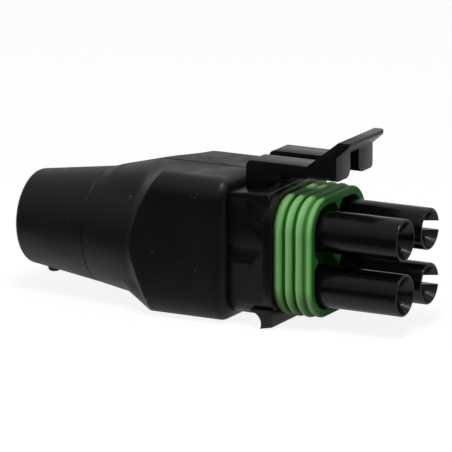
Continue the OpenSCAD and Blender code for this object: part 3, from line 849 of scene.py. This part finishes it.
class CONNECTOR_OT_boot(ConnectorPiece, bpy.types.Operator):
    """Build the boot: its squared body and its closed cap"""

    bl_idname = "connector.boot"
    bl_label = "Boot"

    def execute(self, context):
        sizes = context.scene.connector_boot
        tree = shell_tree()
        seam, front = BOOT_LOW.x, BOOT_HIGH.x
        chamfer = sizes.seam_chamfer
        step, edge = 0.2 * MM, 0.05 * MM
        crease_x, crease_r = front - sizes.shoulder_setback, sizes.shoulder_r
        neck_rise = (crease_r - sizes.seam_r) / (crease_x - seam)
        far_r = math.hypot(BOOT_HIGH.y, BOOT_HIGH.z) + 1 * MM
        far_x = crease_x + (far_r - crease_r) / sizes.shoulder_rise
        core_x, core_r = seam + 14.8 * MM, CORE_HALF
        spigot_x, spigot_r = seam + 2.6 * MM, 5.55 * MM
        body = [
            (seam, sizes.seam_r - chamfer),
            (seam + chamfer, sizes.seam_r + chamfer * neck_rise, edge),
            (crease_x, crease_r, sizes.hollow_r),
            (far_x, far_r),
            (front, far_r),
            (front, far_r, 0, 1),
            (core_x, far_r, 0, 1),
            (core_x, core_r, 0, 1),
            (crease_x, core_r, 0, 1),
            (spigot_x, spigot_r, 0, 1),
            (seam, spigot_r, 0, 1),
            (seam, sizes.seam_r - chamfer),
        ]
        values = shell_values(sizes)
        shell = shaped("boot_shell", profile_mesh("boot_profile", body, step), tree, values)
        wear(shell, "boot")
        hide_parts("boot_body")
        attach(shell, "connector")

        end, end_edge = CAP_LOW.x, 0.8 * MM
        plug_x, plug_r = seam + 2.5 * MM, 5.5 * MM
        well_x, well_r = end + 3.1 * MM, 4.0 * MM
        cap = [
            (end, 0),
            (end, sizes.end_r, end_edge),
            (seam - chamfer, sizes.seam_r - chamfer * neck_rise, edge),
            (seam, sizes.seam_r - chamfer),
            (seam, plug_r, 0, 1),
            (plug_x, plug_r, 0, 1),
            (plug_x, well_r, 0, 1),
            (well_x, well_r, 0, 1),
            (well_x, 0, 0, 1),
        ]
        closed = shaped("boot_end_cap", profile_mesh("cap_profile", cap, step), tree, values)
        wear(closed, "boot")
        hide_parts("boot_cap")
        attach(closed, "connector")
        self.gate_nub()
        return {"FINISHED"}

    def gate_nub(self):
        """The stub that the sprue leaves under the cap."""
        x, low, high = CAP_LOW.x + 2.6 * MM, CAP_LOW.z + 0.45 * MM, CAP_LOW.z + 2.3 * MM
        tip_r, root_r, edge = 0.8 * MM, 1.1 * MM, 0.3 * MM
        form = bmesh.new()
        bmesh.ops.create_cone(
            form, cap_ends=True, segments=40, radius1=tip_r, radius2=root_r, depth=high - low,
            matrix=Matrix.Translation((x, 0, (low + high) / 2)))
        nub = solid_of("gate_nub", form)
        soften(nub, edge, segments=4)
        shade(nub.data, MOULD_SHARP)
        wear(nub, "boot")
        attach(nub, "connector")


class CONNECTOR_OT_seal(ConnectorPiece, bpy.types.Operator):
    """Build the ribbed ring seal with its rim and web"""

    bl_idname = "connector.seal"
    bl_label = "Ring seal"

    def execute(self, context):
        sizes = context.scene.connector_seal
        back, front = SEAL_LOW.x, SEAL_HIGH.x
        crest = sizes.corner_r
        valley = crest - sizes.rib_h
        core_half = SEAL_HIGH.y - crest
        inner = 7.05 * MM - core_half
        step, edge, foot_r = 0.09 * MM, 0.05 * MM, 0.12 * MM
        shelf, shelf_edge = crest - 0.3 * MM, 0.15 * MM
        dip, dip_r = 0.42 * MM, 0.3 * MM
        band = crest - 0.15 * MM
        band_x = front - 2 * sizes.rib_r
        ramp_start, ramp_end, ramp_r = band_x - 0.1 * MM, band_x + 0.35 * MM, 0.35 * MM
        rim_x, rim_r, rim_in = front - 0.25 * MM, 0.3 * MM, band - sizes.rim_t
        web_x, web_in, web_r = front - sizes.pocket, rim_in - 0.1 * MM, 0.1 * MM
        web_back = web_x - 0.35 * MM
        first_x = back + sizes.rib_r + foot_r
        half_rib, crest_r = sizes.rib_r * 0.98, sizes.rib_r * 0.95
        corners = [(back, inner, edge), (back, shelf, shelf_edge)]
        for i in range(sizes.rib_count):
            rib_x = first_x + i * sizes.rib_step
            before = shelf if i == 0 else valley
            after = crest - dip if i == sizes.rib_count - 1 else valley
            corners += [
                (rib_x - sizes.rib_r, before, foot_r),
                (rib_x - half_rib, crest, crest_r),
                (rib_x + half_rib, crest, crest_r),
                (rib_x + sizes.rib_r, after, foot_r)]
        corners += [
            (ramp_start, crest - dip, dip_r),
            (ramp_end, band, ramp_r),
            (rim_x, band, rim_r),
            (rim_x, rim_in, foot_r),
            (web_x, web_in, web_r),
            (web_back, web_in),
            (web_back, inner),
            (back, inner, edge)]
        profile = profile_mesh("seal_profile", corners, step)
        ring = shaped("ribbed_ring_seal", profile, sweep_tree(), {
            "Segments": sizes.segments, "Core half": core_half, "Lift": SEAL_LIFT,
            "Material": FINISHES["silicone"]})
        wear(ring, "silicone")
        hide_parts("ring_seal")
        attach(ring, "connector")
        self.web(web_x, core_half, rim_in)
        return {"FINISHED"}

    def web(self, web_x, core_half, rim_in):
        """The web between the towers, with a round pocket and a hole for each."""
        half, corner = core_half + rim_in - 0.02 * MM, rim_in
        back, front = web_x - 0.3 * MM, web_x + 1.8 * MM
        pocket_r, hole_r, beyond = 4.3 * MM, 3.03 * MM, 1 * MM
        web = rod("seal_web", corner, back, front, 0, SEAL_LIFT, sides=96)
        for point in web.data.vertices:
            y, z = point.co.y, point.co.z - SEAL_LIFT
            point.co.y = y + math.copysign(half - corner, y)
            point.co.z = z + math.copysign(half - corner, z) + SEAL_LIFT
        for y in (-HALF_PITCH, HALF_PITCH):
            for z in (-HALF_PITCH, HALF_PITCH):
                pocket = rod("pocket", pocket_r, web_x, front + beyond, y, z, sides=96)
                combine(web, pocket)
                combine(web, rod("hole", hole_r, back - beyond, front, y, z))
        shade(web.data, MOULD_SHARP)
        wear(web, "silicone")
        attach(web, "connector")


def waist_z(x):
    """Height of the waist's sloping top face."""
    return WAIST_TOP - WAIST_SLOPE * (WAIST_FRONT - x)


class CONNECTOR_OT_housing(ConnectorPiece, bpy.types.Operator):
    """Round the housing's moulded edges"""

    bl_idname = "connector.housing"
    bl_label = "Tower housing"

    def execute(self, context):
        housing = solid_copy("tower_housing")
        back_x, front_x, above, side = -23.5 * MM, -19.5 * MM, 13 * MM, 6 * MM
        posts = prism("posts", [
            (back_x, waist_z(back_x)), (front_x, waist_z(front_x)), (front_x, above), (back_x, above)],
            -side, side)
        combine(housing, posts)
        reach, beyond = 8 * MM, 1 * MM
        towers = prism("towers", [
            (TOWER_BACK, -reach), (beyond, -reach), (beyond, reach), (TOWER_BACK, reach)], -reach, reach)
        combine(housing, towers)
        join_flats(housing.data, WELD)
        soften(housing, width=0.1 * MM)
        housing.name = "moulded_housing"
        shade(housing.data, HOUSING_SHARP)
        wear(housing, "nylon")
        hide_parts("tower_housing")
        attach(housing, "connector")
        sites = [(y, z) for z in (HALF_PITCH, -HALF_PITCH) for y in (-HALF_PITCH, HALF_PITCH)]
        for order, (y, z) in enumerate(sites, 1):
            self.tower(f"tower_{order}", y, z)
        return {"FINISHED"}

    def tower(self, name, y, z):
        """A tower with a thin rim and a lead-in cone. Those on the +Y side have a slot."""
        outer, mouth, throat, barrel = 2.875 * MM, 2.605 * MM, 1.5 * MM, 1.74 * MM
        foot_x, cone_x, throat_x = -11.4 * MM, -2.2 * MM, -4.4 * MM
        foot_r, lip_r, lip_x = outer + 0.08 * MM, mouth + 0.03 * MM, -0.05 * MM
        round_r, turns = 0.2 * MM, [math.radians(15 * i) for i in range(7)]
        edge = [
            (round_r * (math.sin(turn) - 1), outer - round_r * (1 - math.cos(turn))) for turn in turns]
        shell = turned_ring(name, [
            (TOWER_BACK, barrel), (TOWER_BACK, foot_r), (foot_x, outer), *edge, (0, lip_r),
            (lip_x, mouth), (cone_x, throat), (throat_x, throat), (throat_x, barrel)], y, z)
        if y > 0:
            slot_x, beyond, low, high = -3.2 * MM, 1 * MM, z - 0.64 * MM, z + 0.64 * MM
            slot = prism("slot", [(slot_x, low), (beyond, low), (beyond, high), (slot_x, high)],
                         y + outer / 2, y + 2 * outer)
            combine(shell, slot)
        shade(shell.data, TOWER_SHARP)
        wear(shell, "tower")
        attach(shell, "connector")


class CONNECTOR_OT_latch(ConnectorPiece, bpy.types.Operator):
    """Build the latch with its posts, in one moulding"""

    bl_idname = "connector.latch"
    bl_label = "Latch"

    def execute(self, context):
        latch = solid_copy("latch_lever")
        top, arm_low = 12.78 * MM, LATCH_LOW.z
        post_x, root_x, arm_x, base_z = -23.15 * MM, -20.2 * MM, -18.5 * MM, 8.6 * MM
        outer, inner = LATCH_HIGH.y, 1.26 * MM
        corner, turns = 0.8 * MM, [t * math.pi / 16 for t in range(9)]
        arc = [
            (post_x + corner - corner * math.cos(turn), top - corner + corner * math.sin(turn))
            for turn in turns]
        outline = [
            (post_x, base_z), *arc, (arm_x, top), (arm_x, arm_low), (root_x, arm_low), (root_x, base_z)]
        for y0, y1 in ((-outer, -inner), (inner, outer)):
            combine(latch, prism("root", outline, y0, y1), "UNION")
        join_flats(latch.data, WELD)
        soften(latch, width=0.12 * MM)
        cuts_start, cuts_end, cuts_step = -20.4 * MM, -16.5 * MM, 0.2 * MM
        bend_cuts(latch, cuts_start, cuts_end, cuts_step)
        latch.name = "moulded_latch"
        shade(latch.data, HOUSING_SHARP)
        wear(latch, "nylon")
        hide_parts("latch_lever")
        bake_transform(latch)
        return {"FINISHED"}


class CONNECTOR_OT_inner_pieces(ConnectorPiece, bpy.types.Operator):
    """Give the pieces inside the housing and boot their finishes"""

    bl_idname = "connector.inner_pieces"
    bl_label = "Inner pieces"

    def execute(self, context):
        for name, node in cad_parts.items():
            for start in INNER_FINISHES:
                if name.startswith(start):
                    node.data.materials.clear()
                    node.data.materials.append(FINISHES[start])
        return {"FINISHED"}


class CONNECTOR_OT_specks(ConnectorPiece, bpy.types.Operator):
    """Scatter lint and dust flakes over the boot and the seal"""

    bl_idname = "connector.specks"
    bl_label = "Dust"

    def execute(self, context):
        tree = specks_tree()
        for name, surface, density, size, seed in (
                ("boot_lint", "boot_shell", 22000, 0.07 * MM, 4),
                ("cap_lint", "boot_end_cap", 12000, 0.06 * MM, 9),
                ("seal_lint", "ribbed_ring_seal", 12000, 0.05 * MM, 3)):
            mesh = bpy.data.objects[surface].data.copy()
            lint = shaped(name, mesh, tree, {
                "Density": density, "Seed": seed, "Flake": size, "Material": FINISHES["dust"]})
            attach(lint, "connector")
        return {"FINISHED"}


# ---- studio


def rays(g):
    """Two switches: 1 for a reflected ray, and 1 for one from the camera, also through clear pieces."""
    path = g.add("ShaderNodeLightPath").outputs
    seen = g.plus(path["Is Camera Ray"], path["Is Transmission Ray"], clamp=True)
    return path["Is Glossy Ray"], seen


class CONNECTOR_OT_stage(ConnectorPiece, bpy.types.Operator):
    """Set up the floor, the lamps, the sky and the camera"""

    bl_idname = "connector.stage"
    bl_label = "Studio"

    def execute(self, context):
        studio = context.scene.connector_studio
        self.camera(context, studio)
        self.floor()
        self.sky(context)
        self.lamps()
        context.scene.view_settings.view_transform = "Standard"
        return {"FINISHED"}

    def camera(self, context, studio):
        a, e = studio.azimuth, studio.elevation
        right = Vector((math.cos(a), math.sin(a), 0))
        back = Vector((math.sin(a) * math.cos(e), -math.cos(a) * math.cos(e), math.sin(e)))
        up = back.cross(right)
        data = bpy.data.cameras.new("camera")
        data.lens = studio.lens
        data.sensor_width = 36
        data.clip_start, data.clip_end = 0.01, 20
        camera = placed("camera", data)
        turn = Matrix((right, up, back)).transposed().to_4x4()
        spot = right * studio.aim_right + up * studio.aim_up + back * studio.distance
        camera.matrix_world = Matrix.Translation(spot) @ turn
        context.scene.camera = camera

    def floor(self):
        size, gap = 6.0, 0.05 * MM
        level = min(CAD_BOX[0].z, BOOT_LOW.z) - gap
        mesh = bpy.data.meshes.new("floor")
        mesh.from_pydata(
            [(-size, -size, level), (size, -size, level), (size, size, level), (-size, size, level)], [],
            [(0, 1, 2, 3)])
        floor = placed("floor", mesh)
        made = bpy.data.materials.new("pale floor")
        g = empty_graph(made)
        pale = g.result("ShaderNodeBsdfDiffuse", {"Color": (0.95, 0.95, 0.95, 1)})
        glow = g.result("ShaderNodeEmission")
        glossy, seen = rays(g)
        # Painted reflection: to reflected rays the floor is near black (0.03) on the camera's side. From
        # 30 mm to 6 mm in front of the axis it turns to about half the glowing floor, a glow that stands
        # in for a lit table under and behind the object. Bounce light sees a grey floor of 0.22.
        bounce_light, reflected_floor_dark, reflected_glow, glow_share = 0.22, 0.03, 0.54, 0.88
        reflected_glow_start_y, reflected_glow_full_y = -30 * MM, -6 * MM
        bounce = g.pick(glossy, bounce_light, reflected_floor_dark)
        bounce_colour = g.result("ShaderNodeCombineColor", {0: bounce, 1: bounce, 2: bounce})
        grey = g.result("ShaderNodeBsdfDiffuse", {"Color": bounce_colour})
        lit = g.result("ShaderNodeMixShader", {0: glow_share, 1: pale, 2: glow})
        across = g.parts(g.here())[1]
        reflected_glow_share = g.pick(g.steps(across, reflected_glow_start_y, reflected_glow_full_y), 0.0, reflected_glow)
        shown = g.plus(seen, g.times(glossy, reflected_glow_share), clamp=True)
        out = g.result("ShaderNodeMixShader", {0: shown, 1: grey, 2: lit})
        g.add("ShaderNodeOutputMaterial", {"Surface": out})
        mesh.materials.append(made)

    def sky(self, context):
        world = bpy.data.worlds.new("studio")
        context.scene.world = world
        g = empty_graph(world)
        way = g.parts(g.add("ShaderNodeTexCoord").outputs["Generated"])
        # Heights run from 0 at the horizon to 1 overhead
        front_dark, front_light, back_light, top_light, faded = 0.02, 0.3, 0.68, 0.24, 0.75
        behind = g.steps(way[1], -0.1, 0.6)
        front = g.pick(g.steps(way[2], 0.04, 0.4), front_dark, front_light)
        fade = g.minus(1, g.times(g.steps(way[2], 0.12, 0.7), faded))
        ring = g.times(g.pick(behind, front, back_light), fade)
        overhead = g.times(g.steps(way[2], 0.35, 0.75), top_light)
        level = g.plus(ring, overhead)
        strength = g.pick(rays(g)[1], level, 1.0)
        sky = g.result("ShaderNodeBackground", {"Color": (1, 1, 1, 1), "Strength": strength})
        g.add("ShaderNodeOutputWorld", {"Surface": sky})

    def lamps(self):
        centre = (CAD_BOX[0] + CAD_BOX[1]) / 2
        for name, way, distance, size, power, glint in (
                ("key", (0.2, -0.35, 0.9), 0.55, 0.16, 2.4, False),
                ("left fill", (-1.0, -0.7, 0.12), 0.9, 0.35, 6.4, False),
                ("right rim", (1.0, -0.1, 0.35), 0.6, 0.12, 0.3, False),
                ("top glint", (0.32, -0.12, 0.94), 0.6, 0.05, 0.9, True),
                ("back glint", (-0.16, 0.66, 0.73), 0.6, 0.06, 0.12, True)):
            data = bpy.data.lights.new(name, "AREA")
            data.size = size
            data.energy = power
            lamp = placed(name, data)
            lamp.visible_glossy = glint
            lamp.visible_diffuse = not glint
            direction = Vector(way).normalized()
            lamp.location = centre + direction * distance
            lamp.rotation_mode = "QUATERNION"
            lamp.rotation_quaternion = (-direction).to_track_quat("-Z", "Y")


# ---- add-on


ORDER = ("stage", "finishes", "boot", "seal", "housing", "latch", "inner_pieces", "specks")
OPERATORS = (
    CONNECTOR_OT_stage, CONNECTOR_OT_finishes, CONNECTOR_OT_boot, CONNECTOR_OT_seal,
    CONNECTOR_OT_housing, CONNECTOR_OT_latch, CONNECTOR_OT_inner_pieces, CONNECTOR_OT_specks)
GROUPS = {
    "connector_boot": ConnectorBootSizes,
    "connector_seal": ConnectorSealSizes,
    "connector_finish": ConnectorFinish,
    "connector_studio": ConnectorStudio,
}


class CONNECTOR_PT_panel(bpy.types.Panel):
    """Lists the connector's pieces and settings"""

    bl_idname = "CONNECTOR_PT_panel"
    bl_label = "Connector"
    bl_space_type = "VIEW_3D"
    bl_region_type = "UI"
    bl_category = "Connector"

    def draw(self, context):
        for operator in OPERATORS:
            self.layout.operator(operator.bl_idname)
        for name, kind in GROUPS.items():
            box = self.layout.box()
            box.label(text=name.replace("_", " "))
            for setting in kind.__annotations__:
                box.prop(getattr(context.scene, name), setting)


def register():
    for kind in (*GROUPS.values(), *OPERATORS, CONNECTOR_PT_panel):
        bpy.utils.register_class(kind)
    for name, kind in GROUPS.items():
        setattr(bpy.types.Scene, name, bpy.props.PointerProperty(type=kind))


def unregister():
    for name in GROUPS:
        delattr(bpy.types.Scene, name)
    for kind in reversed((*GROUPS.values(), *OPERATORS, CONNECTOR_PT_panel)):
        bpy.utils.unregister_class(kind)


def main():
    register()
    for name in ORDER:
        getattr(bpy.ops.connector, name)()


if __name__ == "__main__":
    main()
